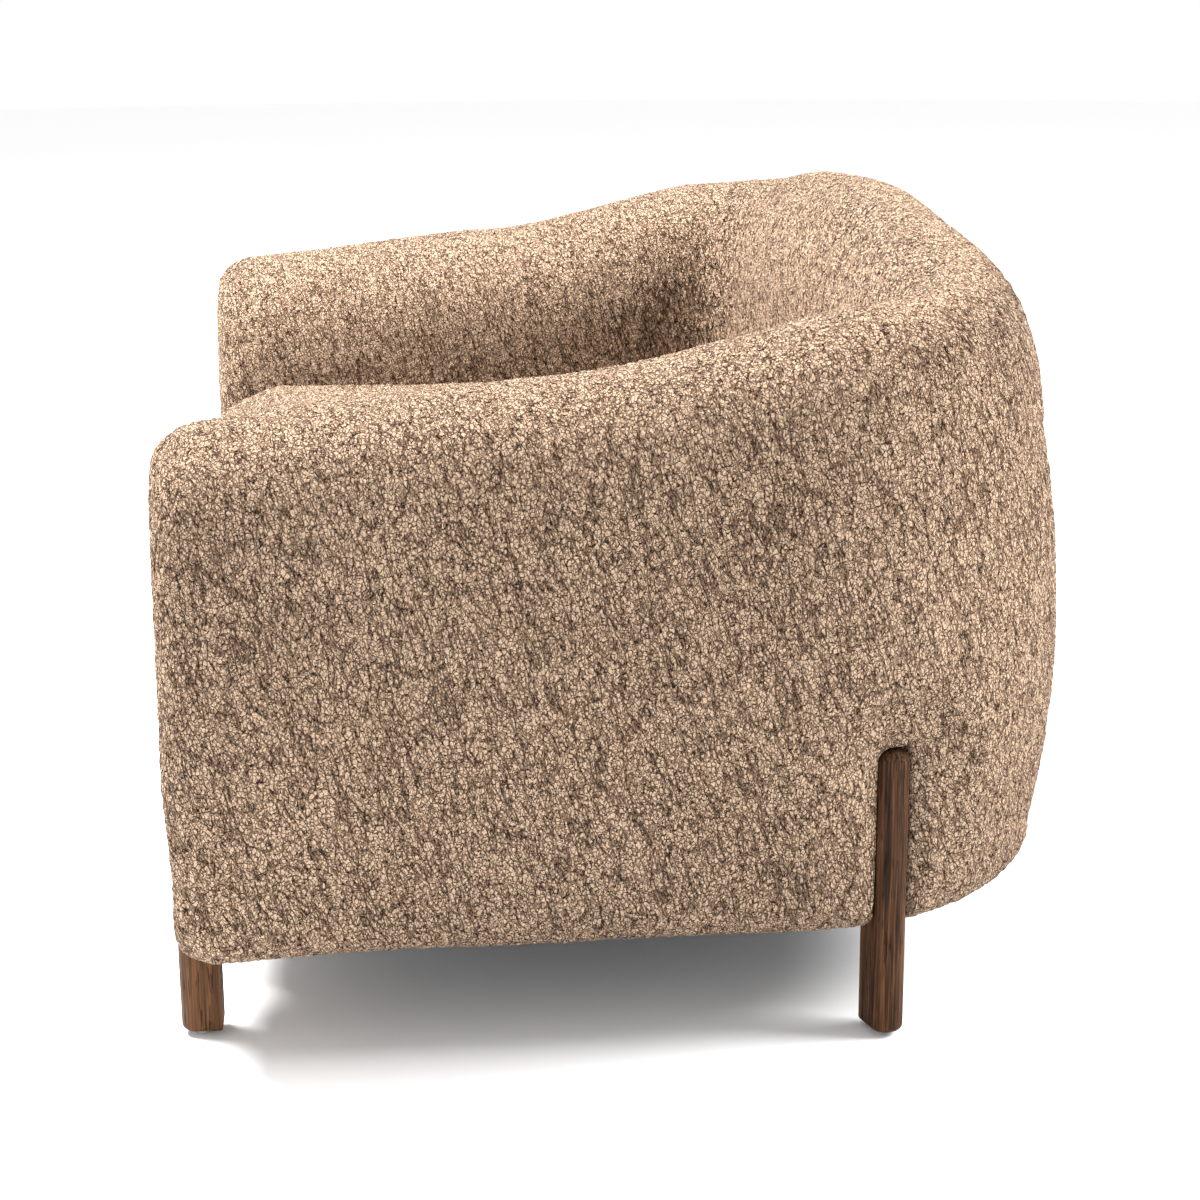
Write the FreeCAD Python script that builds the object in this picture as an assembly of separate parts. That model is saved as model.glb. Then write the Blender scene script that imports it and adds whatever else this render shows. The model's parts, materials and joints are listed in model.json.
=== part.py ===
import FreeCAD, Part
import math
import os

# Compact two-seat tub sofa on four D-section wooden legs.
# Millimetres, +Z up, origin on the floor under the middle of the sofa.
# The front faces -Y, the back +Y, and the sitter's left arm is at +X.

# ---------------------------------------------------------------- driving dimensions
OUTLINE_WIDTH = 1432.0      # over the arms, at the ends of their bulged faces
TUB_DEPTH = 900.0           # arm fronts to the back's outline
FACE_BULGE = 20.0           # how far the outside faces swell past the outline
CUSHION_PROUD = 30.0        # cushion nose in front of the arm fronts
CORNER_SIZE = 312.0         # rear corners in plan
CORNER_POWER = 2.30         # 2 is a circle, more is squarer
ARM_WALL = 215.0            # thickness of the arms
BACK_WALL = 185.0           # thickness of the back
UNDERSIDE = 110.0           # floor to the bottom of the upholstery
ARM_FRONT_TOP = 621.0       # top of the arm at its front end
ARM_RISE = 38.0             # rise of the arm towards the back
SHOULDER_RISE = 61.0        # rise from the arm into the rear corner
CROWN_RISE = 60.0           # further rise to the middle of the back
TOP_ROLL = 160.0            # height of the rolled top edge
HEM_RADIUS = 52.0           # rounding along the bottom edge
FRONT_ROUND = 55.0          # rounding at the front ends of the arms
COVER = 4.0                 # pile fabric with its backing

SEAT_TOP = 475.0            # crown of the seat cushion
CUSHION_BASE = 284.0        # underside of the seat cushion

LEG_WIDTH = 34.0
LEG_DEPTH = 42.0
LEG_TOP = 300.0
LEG_FOOT = 5.0              # glide height under the leg
LEG_DOME = 12.0
LEG_EASE = 6.0
LEG_STANDOFF = 0.6          # rear leg's flat back off the curved panel
FRONT_LEG_INSET = 113.0     # front leg's axis in from the outline's side
FRONT_LEG_SETBACK = 19.0    # front leg's axis behind the arm front
REAR_LEG_STATION = 707.0    # distance of the rear leg along the outline from the arm's front
LEG_CLEARANCE = 1.0         # fabric groove round each leg

RAIL = 28.0                 # hardwood frame thickness
BASE_RAIL_HEIGHT = 120.0
CORE_OUTER = 44.0           # frame's outer face, in from the outline
CORE_INNER = 122.0          # frame's inner face
CORE_TOP_DROP = 88.0        # frame's top edge below the upholstered top
PANEL = 4.0                 # ply panels on the frame
FIT_GAP = 0.5

POST = 28.0                 # posts, measured along the wall
BACK_POST_OUT = 384.0       # back posts, from the middle of the back
BRACE = 90.0
BRACE_THICKNESS = 16.0
FLANGE = 92.0               # fabric turned in under the rails, in from the outline

DECK_FOAM = 36.0
DECK_CLOTH = 1.5
BORDER_RECESS = 10.0        # front border behind the arm fronts
BORDER_ROUND = 22.0

SPRING_WIRE = 3.8
SPRING_SIDES = 8            # the wire's section, a regular polygon
SPRING_COUNT = 10
SPRING_SPACING = 96.0
SPRING_SWING = 40.0         # width of the zigzag
SPRING_TURN = 12.0          # radius of its bends
CLIP = (16.0, 14.0, 9.0)
WEB_WIDTH = 50.0
WEB_THICKNESS = 1.8
WEB_COUNT = 9

CUSHION_GAP = 1.0           # between the cushion and the walls
CUSHION_SEAM = 372.0        # height of the seam round the cushion
WADDING = 9.0
ZIP_LENGTH = 700.0
ZIP_TAPE = (26.0, 2.0)      # height and thickness

BOLT_RADIUS = 4.0
BOLT_LEVELS = (150.0, 210.0)
BOLT_HEAD = 5.0
BOLT_HEAD_RADIUS = 6.5
SOCKET_RADIUS = 2.5
INSERT_RADIUS = 6.0
INSERT_DEPTH = 18.0
WASHER_RADIUS = 9.0
WASHER = 1.6
WASHER_GAP = 0.3            # rear washers off the faceted inside of the corner rail

DUST_COVER = 1.0
DUST_INSET = 68.0           # dust cover's edge in from the outline
STAPLE_PITCH = 60.0
STAPLE_CROWN = 10.0
STAPLE_WIRE = 0.8
STAPLE_LEG = 7.0

GLIDE_RADIUS = 8.5
GLIDE_NAIL_RADIUS = 1.6
GLIDE_NAIL = 18.0

Vector = FreeCAD.Vector
UP = Vector(0, 0, 1)

# ---------------------------------------------------------------- values that follow
HALF_WIDTH = OUTLINE_WIDTH / 2.0
OVERALL_DEPTH = CUSHION_PROUD + TUB_DEPTH + FACE_BULGE
NOSE_Y = -OVERALL_DEPTH / 2.0
FRONT_Y = NOSE_Y + CUSHION_PROUD
BACK_Y = FRONT_Y + TUB_DEPTH
ARM_LENGTH = TUB_DEPTH - CORNER_SIZE
RAIL_LOW = UNDERSIDE + COVER
RAIL_HIGH = RAIL_LOW + BASE_RAIL_HEIGHT
MEMBER_OUTER = CORE_OUTER + PANEL
MEMBER_INNER = CORE_INNER - PANEL
DECK_TOP = CUSHION_BASE - FIT_GAP
DECK_LOW = DECK_TOP - DECK_CLOTH - DECK_FOAM
SPRING_LEVEL = DECK_LOW - SPRING_WIRE / 2.0 - FIT_GAP
FRONT_RAIL_Y = FRONT_Y + FRONT_LEG_SETBACK + LEG_DEPTH / 2.0
RAIL_BACK_Y = FRONT_RAIL_Y + RAIL
RAIL_BACK = RAIL_BACK_Y - FRONT_Y

ARM_SPANS = 6
CORNER_SPANS = 14
BACK_SPANS = 5
CORNER_STEPS = 1400         # fine steps that measure the corner's length


def smooth(value):
    """Smooth step from 0 to 1."""
    value = min(max(value, 0.0), 1.0)
    return value * value * (3.0 - 2.0 * value)


def corner_point(share):
    """Point of the rear corner in plan, a rounded square of the given power."""
    angle = math.pi / 2.0 * share
    x = HALF_WIDTH - CORNER_SIZE + CORNER_SIZE * abs(math.cos(angle)) ** (2.0 / CORNER_POWER)
    y = BACK_Y - CORNER_SIZE + CORNER_SIZE * math.sin(angle) ** (2.0 / CORNER_POWER)
    return Vector(x, y, 0)


def corner_line():
    """Corner points evenly spaced along its length, and that length."""
    fine = [corner_point(step / CORNER_STEPS) for step in range(CORNER_STEPS + 1)]
    lengths = [0.0]
    for first, second in zip(fine, fine[1:]):
        lengths.append(lengths[-1] + second.sub(first).Length)
    even = []
    index = 0
    for step in range(CORNER_SPANS + 1):
        wanted = lengths[-1] * step / CORNER_SPANS
        while lengths[index] < wanted - 1e-6:
            index += 1
        even.append(fine[index])
    return even, lengths[-1]


CORNER_POINTS, CORNER_LENGTH = corner_line()
CORNER_START = ARM_LENGTH
CORNER_END = CORNER_START + CORNER_LENGTH
MIDDLE = CORNER_END + HALF_WIDTH - CORNER_SIZE      # station of the middle of the back
WHOLE = 2.0 * MIDDLE


def wall_thickness(station):
    """The wall passes from the arm's thickness to the back's round the corner."""
    share = smooth((station - 0.8 * CORNER_START) / (1.8 * CORNER_SIZE))
    return ARM_WALL + (BACK_WALL - ARM_WALL) * share


def wall_top(station):
    """Height of the upholstered top edge."""
    rise_end = 0.6 * CORNER_START
    crown_start = 1.13 * CORNER_START
    height = ARM_FRONT_TOP + ARM_RISE * min(station / rise_end, 1.0)
    height += SHOULDER_RISE * smooth((station - rise_end) / 380.0)
    return height + CROWN_RISE * smooth((station - crown_start) / (MIDDLE - crown_start))


def wall_nodes():
    """The wall's stations: place along, point, inward way, thickness and top, all the way round."""
    half = []
    for step in range(ARM_SPANS):
        station = ARM_LENGTH * step / ARM_SPANS
        half.append((station, Vector(HALF_WIDTH, FRONT_Y + station, 0), Vector(-1, 0, 0)))
    for step, point in enumerate(CORNER_POINTS):
        if 0 < step < CORNER_SPANS:
            along = CORNER_POINTS[step + 1].sub(CORNER_POINTS[step - 1]).normalize()
            way = UP.cross(along)
        else:
            way = Vector(-1, 0, 0) if step == 0 else Vector(0, -1, 0)
        half.append((CORNER_START + CORNER_LENGTH * step / CORNER_SPANS, point, way))
    for step in range(1, BACK_SPANS + 1):
        share = step / BACK_SPANS
        point = Vector((HALF_WIDTH - CORNER_SIZE) * (1.0 - share), BACK_Y, 0)
        half.append((CORNER_END + (MIDDLE - CORNER_END) * share, point, Vector(0, -1, 0)))
    nodes = [(s, p, w, wall_thickness(s), wall_top(s)) for s, p, w in half]
    for station, point, way, thickness, top in reversed(nodes[:-1]):
        flipped = Vector(-point.x, point.y, 0), Vector(-way.x, way.y, 0)
        nodes.append((WHOLE - station, flipped[0], flipped[1], thickness, top))
    return nodes


NODES = wall_nodes()


def at_station(station):
    """Neighbouring nodes of a station, and its share of the way between them."""
    index = 1
    while NODES[index][0] < station and index < len(NODES) - 1:
        index += 1
    first, second = NODES[index - 1], NODES[index]
    return first, second, (station - first[0]) / (second[0] - first[0])


def place(station, inset, height=0.0):
    """A point of the wall, given along, across and up; it lies on the facets between nodes."""
    first, second, share = at_station(station)
    here = first[1].add(first[2] * inset)
    there = second[1].add(second[2] * inset)
    return here.add(there.sub(here) * share) + UP * height


def thickness_at(station):
    first, second, share = at_station(station)
    return first[3] + share * (second[3] - first[3])


def top_at(station):
    first, second, share = at_station(station)
    return first[4] + share * (second[4] - first[4])


def stations_between(start, end):
    """The ends of a stretch and the nodes inside it."""
    inside = [node[0] for node in NODES if start + 0.5 < node[0] < end - 0.5]
    return [start] + inside + [end]


# ---------------------------------------------------------------- shapes
def curve(*points):
    """One Bezier edge."""
    bezier = Part.BezierCurve()
    bezier.setPoles(list(points))
    return bezier.toShape()


def wall_section(station, skin, shrink=0.0, shift=0.0):
    """Closed section of a padded wall: hem, swelling outside face, rolled top, plain inside face."""
    outer = skin + shrink
    inner = thickness_at(station) - skin - shrink
    low = UNDERSIDE + skin + 0.6 * shrink
    top = top_at(station) - skin - shrink
    hem = HEM_RADIUS - skin
    shoulder = top - TOP_ROLL + skin
    middle = (outer + inner) / 2.0
    swell = FACE_BULGE * 4.0 / 3.0
    third = (shoulder - low - hem) / 3.0
    crown = shoulder + 0.62 * (TOP_ROLL - skin)

    def at(inset, height):
        return place(station, inset, height) + Vector(0, shift, 0)

    ends = [at(inner, low), at(outer + hem, low), at(outer, low + hem), at(outer, shoulder)]
    ends += [at(middle, top), at(inner, shoulder)]
    hem_poles = [at(outer + 0.4 * hem, low), at(outer - 1.0, low + 0.4 * hem)]
    face_poles = [at(outer - swell, low + hem + third), at(outer - swell, shoulder - third)]
    roll_poles = [at(outer + 2.0, crown), at(outer + 0.4 * (middle - outer), top)]
    inside_poles = [at(inner - 0.4 * (inner - middle), top), at(inner - 2.0, crown)]
    edges = [Part.makeLine(ends[0], ends[1])]
    edges.append(curve(ends[1], *hem_poles, ends[2]))
    edges.append(curve(ends[2], *face_poles, ends[3]))
    edges.append(curve(ends[3], *roll_poles, ends[4]))
    edges.append(curve(ends[4], *inside_poles, ends[5]))
    edges.append(Part.makeLine(ends[5], ends[0]))
    return Part.Wire(edges)


def padded_wall(start, end, skin):
    """Padded wall between two stations; the arm's front end is rounded."""
    sections = []
    if start == 0.0:
        for share in (0.0, 0.12, 0.35, 0.65):
            run = share * FRONT_ROUND
            shrink = FRONT_ROUND - math.sqrt(FRONT_ROUND ** 2 - (FRONT_ROUND - run) ** 2)
            sections.append(wall_section(run, skin, 0.62 * shrink, skin * (1.0 - share)))
        start = FRONT_ROUND
    sections += [wall_section(station, skin) for station in stations_between(start, end)]
    return Part.makeLoft(sections, True, True)


def strip(start, end, outer, inner, low, high):
    """Board that follows the wall; an inset or a height may vary with the station."""
    def value(item, station):
        return item(station) if callable(item) else item

    sections = []
    for station in stations_between(start, end):
        near, far = value(outer, station), value(inner, station)
        under, over = value(low, station), value(high, station)
        ring = [place(station, near, under), place(station, far, under)]
        ring += [place(station, far, over), place(station, near, over)]
        sections.append(Part.makePolygon(ring + [ring[0]]))
    return Part.makeLoft(sections, True, True)


def block(x0, x1, y0, y1, z0, z1):
    return Part.makeBox(x1 - x0, y1 - y0, z1 - z0, Vector(x0, y0, z0))


def prism(points, low, high):
    """Upright prism over a closed line of points."""
    ring = [Vector(point.x, point.y, low) for point in points]
    return Part.Face(Part.makePolygon(ring + [ring[0]])).extrude(UP * (high - low))


def flipped(shape):
    """The same piece on the other side of the sofa."""
    return shape.mirror(Vector(0, 0, 0), Vector(1, 0, 0))


def group(shapes):
    return Part.makeCompound(list(shapes))


def export(name, shape):
    shape.exportStep("parts/" + name + ".step")


def export_pair(name, left):
    """A left piece and its mirror image, as two nodes."""
    export("left_" + name, left)
    export("right_" + name, flipped(left))


def export_both(name, left):
    """A left piece and its mirror image, as one node."""
    export(name, group([left, flipped(left)]))


# ---------------------------------------------------------------- legs and their fixings
def facing(point, angle):
    """Placement of a piece drawn facing +X at the origin."""
    return FreeCAD.Placement(Vector(point.x, point.y, 0), FreeCAD.Rotation(UP, angle))


def placed(shape, placement):
    copy = shape.copy()
    copy.Placement = placement.multiply(copy.Placement)
    return copy


def d_section(grow=0.0):
    """Half-round face outwards (+X), flat back."""
    half = LEG_WIDTH / 2.0 + grow
    front = LEG_DEPTH / 2.0 + grow
    flat = -LEG_DEPTH / 2.0 - grow
    centre = front - half
    round_face = Part.Arc(Vector(centre, -half, 0), Vector(front, 0, 0), Vector(centre, half, 0))
    edges = [Part.makeLine(Vector(flat, -half, 0), Vector(centre, -half, 0)), round_face.toShape()]
    edges.append(Part.makeLine(Vector(centre, half, 0), Vector(flat, half, 0)))
    edges.append(Part.makeLine(Vector(flat, half, 0), Vector(flat, -half, 0)))
    return Part.Face(Part.Wire(edges))


def leg():
    """Leg with a domed top, an eased foot, insert pockets and the hole for the glide's nail."""
    blank = d_section().extrude(UP * (LEG_TOP - LEG_FOOT))
    top = [e for e in blank.Edges if e.BoundBox.ZMin > LEG_TOP - LEG_FOOT - 1.0]
    blank = blank.makeFillet(LEG_DOME, top)
    foot = [e for e in blank.Edges if e.BoundBox.ZMax < 1.0]
    blank = blank.makeFillet(LEG_EASE, foot)
    blank.translate(UP * LEG_FOOT)
    for level in BOLT_LEVELS:
        blank = blank.cut(Part.makeCylinder(INSERT_RADIUS, INSERT_DEPTH, leg_back(level), OUT))
    return blank.cut(Part.makeCylinder(GLIDE_NAIL_RADIUS, GLIDE_NAIL + LEG_FOOT))


def leg_back(level):
    """Middle of the leg's flat back at a height."""
    return Vector(-LEG_DEPTH / 2.0, 0, level)


def glide():
    """Nail-on glide: a low button with its nail."""
    button = Part.makeCylinder(GLIDE_RADIUS, LEG_FOOT)
    button = button.makeFillet(1.5, [e for e in button.Edges if e.BoundBox.ZMax < 0.1])
    nail = Part.makeCylinder(GLIDE_NAIL_RADIUS, GLIDE_NAIL, UP * LEG_FOOT)
    return button.fuse(nail).removeSplitter()


def bolt(level, grip):
    """Socket-head bolt that clamps the frame to the leg."""
    head = leg_back(level) - OUT * (grip + WASHER)
    shank = Part.makeCylinder(BOLT_RADIUS, grip + WASHER + INSERT_DEPTH, head, OUT)
    cap = Part.makeCylinder(BOLT_HEAD_RADIUS, BOLT_HEAD, head - OUT * BOLT_HEAD, OUT)
    cap = cap.cut(Part.makeCylinder(SOCKET_RADIUS, BOLT_HEAD - 2.0, head - OUT * BOLT_HEAD, OUT))
    return shank.fuse(cap).removeSplitter()


def washer(level, grip):
    seat = leg_back(level) - OUT * (grip + WASHER)
    return ring(WASHER_RADIUS, WASHER, seat)


def insert(level):
    return ring(INSERT_RADIUS, INSERT_DEPTH, leg_back(level))


def ring(radius, length, start):
    """Tube round a bolt."""
    tube = Part.makeCylinder(radius, length, start, OUT)
    return tube.cut(Part.makeCylinder(BOLT_RADIUS, length, start, OUT))


OUT = Vector(1, 0, 0)
rear_first, rear_second, rear_share = at_station(REAR_LEG_STATION)
rear_way = (rear_first[2] * (1.0 - rear_share) + rear_second[2] * rear_share) * -1.0
rear_angle = math.degrees(math.atan2(rear_way.y, rear_way.x))
REAR_LEG = facing(place(REAR_LEG_STATION, CORE_OUTER - LEG_STANDOFF - LEG_DEPTH / 2.0), rear_angle)
FRONT_LEG = facing(Vector(HALF_WIDTH - FRONT_LEG_INSET, FRONT_Y + FRONT_LEG_SETBACK, 0), -90.0)
LEG_PLACES = {"front_leg": (FRONT_LEG, RAIL), "rear_leg": (REAR_LEG, RAIL + PANEL + LEG_STANDOFF + WASHER_GAP)}


def build_legs():
    bolts, washers, inserts, glides = [], [], [], []
    for name, (placement, grip) in LEG_PLACES.items():
        export_pair(name, placed(leg(), placement))
        glides.append(placed(glide(), placement))
        for level in BOLT_LEVELS:
            bolts.append(placed(bolt(level, grip), placement))
            washers.append(placed(washer(level, grip), placement))
            inserts.append(placed(insert(level), placement))
    for name, pieces in (("leg_bolts", bolts), ("bolt_washers", washers), ("leg_inserts", inserts),
                         ("glides", glides)):
        export(name, group(pieces + [flipped(piece) for piece in pieces]))


def leg_pockets():
    """Grooves in the padding for the left legs, open to the outside."""
    height = LEG_TOP + LEG_CLEARANCE
    half = LEG_WIDTH / 2.0 + LEG_CLEARANCE
    pocket = d_section(LEG_CLEARANCE).extrude(UP * height)
    pocket = pocket.fuse(block(0.0, LEG_DEPTH + FACE_BULGE, -half, half, 0.0, height))
    return [placed(pocket, placement) for placement, grip in LEG_PLACES.values()]


def bolt_holes():
    """Holes for the left legs' bolts."""
    holes = []
    for placement, grip in LEG_PLACES.values():
        for level in BOLT_LEVELS:
            start = leg_back(level) - OUT * (grip + 10.0)
            holes.append(placed(Part.makeCylinder(BOLT_RADIUS, grip + 10.0, start, OUT), placement))
    return holes


# ---------------------------------------------------------------- frame
def frame_top(station):
    return top_at(station) - CORE_TOP_DROP


def member(start, end, low, high, outer=MEMBER_OUTER, inner=MEMBER_INNER):
    return strip(start, end, outer, inner, low, high)


def post(station):
    """Upright between the base rail and the top rail."""
    return member(station - POST / 2.0, station + POST / 2.0, RAIL_HIGH, lambda s: frame_top(s) - RAIL)


def drilled(shape):
    for hole in bolt_holes():
        shape = shape.cut(hole)
    return shape


def front_rail():
    reach = HALF_WIDTH - MEMBER_OUTER
    rail = block(-reach, reach, FRONT_RAIL_Y, RAIL_BACK_Y, RAIL_LOW, RAIL_HIGH)
    for hole in bolt_holes():
        rail = rail.cut(hole).cut(flipped(hole))
    return rail


def corner_brace():
    """Triangular ply brace behind the end of the front rail."""
    x = HALF_WIDTH - MEMBER_OUTER - RAIL
    corner = [Vector(x, RAIL_BACK_Y, 0), Vector(x - BRACE, RAIL_BACK_Y, 0), Vector(x, RAIL_BACK_Y + BRACE, 0)]
    return prism(corner, RAIL_LOW, RAIL_LOW + BRACE_THICKNESS)


def build_frame():
    arm = (RAIL_BACK - RAIL, CORNER_START)
    corner = (CORNER_START, CORNER_END)
    back = (CORNER_END, WHOLE - CORNER_END)
    rail_inner = MEMBER_OUTER + RAIL
    export("front_rail", front_rail())
    export_pair("side_rail", member(RAIL_BACK, CORNER_START, RAIL_LOW, RAIL_HIGH, inner=rail_inner))
    export_pair("corner_rail", drilled(member(*corner, RAIL_LOW, RAIL_HIGH, inner=rail_inner)))
    export("rear_rail", member(*back, RAIL_LOW, RAIL_HIGH, inner=rail_inner))
    rear_face = BACK_Y - rail_inner
    export("centre_stretcher", block(-RAIL / 2.0, RAIL / 2.0, RAIL_BACK_Y, rear_face, RAIL_LOW, RAIL_LOW + 70.0))
    export_both("corner_braces", corner_brace())
    posts = {"front_posts": RAIL_BACK - RAIL / 2.0, "arm_posts": CORNER_START,
             "corner_posts": (CORNER_START + CORNER_END) / 2.0, "back_posts": MIDDLE - BACK_POST_OUT}
    for name, station in posts.items():
        export_both(name, post(station))
    export("centre_back_post", post(MIDDLE))
    top = {"low": lambda s: frame_top(s) - RAIL, "high": frame_top}
    export_pair("arm_top_rail", member(*arm, **top))
    export_pair("corner_top_rail", member(*corner, **top))
    export("back_top_rail", member(*back, **top))
    tack = (DECK_LOW + 4.0, DECK_LOW + 40.0)
    gap = POST / 2.0
    left_end = MIDDLE - BACK_POST_OUT
    bays = [(left_end + gap, MIDDLE - gap), (MIDDLE + gap, WHOLE - left_end - gap)]
    export("back_tacking_rails", group(member(*bay, *tack, outer=MEMBER_INNER - RAIL) for bay in bays))
    skin = {"low": RAIL_LOW, "high": frame_top, "outer": CORE_OUTER, "inner": MEMBER_OUTER}
    export_both("arm_outer_panels", strip(*arm, **skin))
    export_both("corner_outer_panels", drilled(strip(*corner, **skin)))
    export("back_outer_panel", strip(*back, **skin))
    skin = {"low": DECK_LOW, "high": frame_top, "outer": MEMBER_INNER, "inner": CORE_INNER}
    export_both("arm_inner_panels", strip(*arm, **skin))
    export_both("corner_inner_panels", strip(*corner, **skin))


# ---------------------------------------------------------------- suspension
def zigzag(start_y, end_y):
    """Sinuous spring wire along Y: bars across joined by half-round bends."""
    half = SPRING_SWING / 2.0 - SPRING_TURN
    pitch = 2.0 * SPRING_TURN
    turns = int((end_y - start_y) // pitch)
    first = (start_y + end_y - turns * pitch) / 2.0
    edges = []
    for turn in range(turns + 1):
        y = first + turn * pitch
        side = 1.0 if turn % 2 == 0 else -1.0
        edges.append(Part.makeLine(Vector(-half * side, y, 0), Vector(half * side, y, 0)))
        if turn < turns:
            bend = Part.Arc(Vector(half * side, y, 0), Vector((half + SPRING_TURN) * side, y + SPRING_TURN, 0),
                            Vector(half * side, y + pitch, 0))
            edges.append(bend.toShape())
    path = Part.Wire(edges)
    turn = 2.0 * math.pi / SPRING_SIDES
    rim = [SPRING_WIRE / 2.0 * Vector(0, math.cos(turn * step), math.sin(turn * step))
           for step in range(SPRING_SIDES)]
    section = Part.makePolygon([Vector(-half, first, 0) + point for point in rim + [rim[0]]])
    return path.makePipeShell([section], True, True), first, first + turns * pitch


def build_suspension():
    wire, first_y, last_y = zigzag(RAIL_BACK_Y - RAIL, BACK_Y - MEMBER_OUTER)
    springs, clips = [], []
    for index in range(SPRING_COUNT):
        x = (index - (SPRING_COUNT - 1) / 2.0) * SPRING_SPACING
        spring = wire.copy()
        spring.translate(Vector(x, 0, SPRING_LEVEL))
        springs.append(spring)
        for y in (first_y, last_y):
            clip = block(x - CLIP[0] / 2.0, x + CLIP[0] / 2.0, y - CLIP[1] / 2.0, y + CLIP[1] / 2.0,
                         RAIL_HIGH, DECK_LOW - FIT_GAP / 2.0)
            clips.append(clip.cut(spring))
    export("seat_springs", group(springs))
    export("spring_clips", group(clips))
    straps = []
    for index in range(WEB_COUNT):
        share = (index + 0.5) / WEB_COUNT
        station = MIDDLE + (2.0 * share - 1.0) * BACK_POST_OUT
        straps.append(strip(station - WEB_WIDTH / 2.0, station + WEB_WIDTH / 2.0, MEMBER_INNER,
                            MEMBER_INNER + WEB_THICKNESS, DECK_LOW + 4.0, frame_top))
    export("back_webbing", group(straps))


# ---------------------------------------------------------------- padding and fabric of the walls
def frame_space(start, end):
    """Room for the frame: between the panels above the deck, and all the way in below it."""
    beyond = 6.0
    spaces = [strip(start, end, CORE_OUTER, CORE_INNER, RAIL_LOW, frame_top)]
    inner = lambda s: thickness_at(s) + beyond
    if start < RAIL_BACK:
        start = RAIL_BACK
        reach = HALF_WIDTH - MEMBER_OUTER
        spaces.append(block(HALF_WIDTH - ARM_WALL - beyond, reach, FRONT_RAIL_Y, RAIL_BACK_Y, RAIL_LOW, RAIL_HIGH))
    spaces.append(strip(start, end, CORE_OUTER, inner, RAIL_LOW, DECK_LOW))
    spaces.append(strip(start, end, FLANGE, inner, UNDERSIDE - 1.0, RAIL_LOW + 1.0))
    return spaces


def wall_layers(start, end):
    """Padding and fabric between two stations, with room for the frame."""
    padding = padded_wall(start, end, COVER)
    fabric = padded_wall(start, end, 0.0).cut(padding)
    for space in frame_space(max(start, RAIL_BACK - RAIL), end):
        padding = padding.cut(space)
        fabric = fabric.cut(space)
    return padding, fabric


def build_walls():
    for name, start, end in (("arm", 0.0, CORNER_START), ("corner", CORNER_START, CORNER_END)):
        padding, fabric = wall_layers(start, end)
        for pocket in leg_pockets():
            padding = padding.cut(pocket)
            fabric = fabric.cut(pocket)
        export_pair(name + "_padding", padding)
        export_pair(name + "_cover", fabric)
    padding, fabric = wall_layers(CORNER_END, WHOLE - CORNER_END)
    export("back_padding", padding)
    export("back_cover", fabric)


# ---------------------------------------------------------------- seat
def seat_plan(inset, front_y):
    """Closed line inside the walls, a little clear of them, with its front edge at a given place."""
    stations = stations_between(0.0, WHOLE)[2:-2]
    sides = [place(s, thickness_at(s) + CUSHION_GAP + inset) for s in stations]
    x = HALF_WIDTH - ARM_WALL - CUSHION_GAP - inset
    return [Vector(x, front_y, 0)] + sides + [Vector(-x, front_y, 0)]


def eased_ring(skin, side, front, level):
    """Cushion's outline at one level, drawn in by given amounts at the sides and at the front."""
    plan = seat_plan(skin, NOSE_Y + skin)
    half = plan[0].x
    near = plan[0].y
    far = max(point.y for point in plan)
    across = (half - side) / half
    along = (far - side - near - front) / (far - near)
    points = [Vector(p.x * across, near + front + (p.y - near) * along, level) for p in plan]
    return Part.makePolygon(points + [points[0]])


def cushion_body(skin):
    """Cushion with a rounded nose and eased edges, some way under its outer surface."""
    nose = CUSHION_SEAM - CUSHION_BASE
    crown = SEAT_TOP - CUSHION_BASE
    profile = ((0.0, 16.0, 26.0), (8.0, 5.0, 15.0), (24.0, 1.0, 7.0), (nose, 0.0, 0.0),
               (crown - 62.0, 0.0, 3.0), (crown - 34.0, 2.0, 11.0), (crown - 14.0, 9.0, 27.0),
               (crown - 4.0, 26.0, 48.0), (crown, 70.0, 90.0))
    sections = []
    for height, side, front in profile:
        level = CUSHION_BASE + skin + height * (crown - 2.0 * skin) / crown
        sections.append(eased_ring(skin, side, front, level))
    return Part.makeLoft(sections, True, True)


def halves(shell):
    """Upper and lower half of a shell, parted at the seam."""
    reach = OUTLINE_WIDTH
    upper = block(-reach, reach, -reach, reach, CUSHION_SEAM, SEAT_TOP + 50.0)
    return shell.common(upper), shell.cut(upper)


def build_cushion():
    outer, lining, foam = cushion_body(0.0), cushion_body(COVER), cushion_body(COVER + WADDING)
    cover_top, cover_bottom = halves(outer.cut(lining))
    wadding_top, wadding_bottom = halves(lining.cut(foam))
    rear = BACK_Y - BACK_WALL - CUSHION_GAP
    height, thickness = ZIP_TAPE
    tape = block(-ZIP_LENGTH / 2.0, ZIP_LENGTH / 2.0, rear - thickness - 1.0, rear - 1.0,
                 CUSHION_SEAM - height - 6.0, CUSHION_SEAM - 6.0)
    slider = block(ZIP_LENGTH / 2.0 - 20.0, ZIP_LENGTH / 2.0 - 12.0, rear - thickness - 1.0, rear - 1.0,
                   CUSHION_SEAM - height / 2.0 - 11.0, CUSHION_SEAM - height / 2.0 - 1.0)
    export("cushion_cover_top", cover_top)
    export("cushion_cover_bottom", cover_bottom.cut(tape))
    export("cushion_wadding_top", wadding_top)
    export("cushion_wadding_bottom", wadding_bottom)
    export("cushion_foam", foam)
    export("cushion_zip", tape.cut(slider))
    export("zip_slider", slider)


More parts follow.
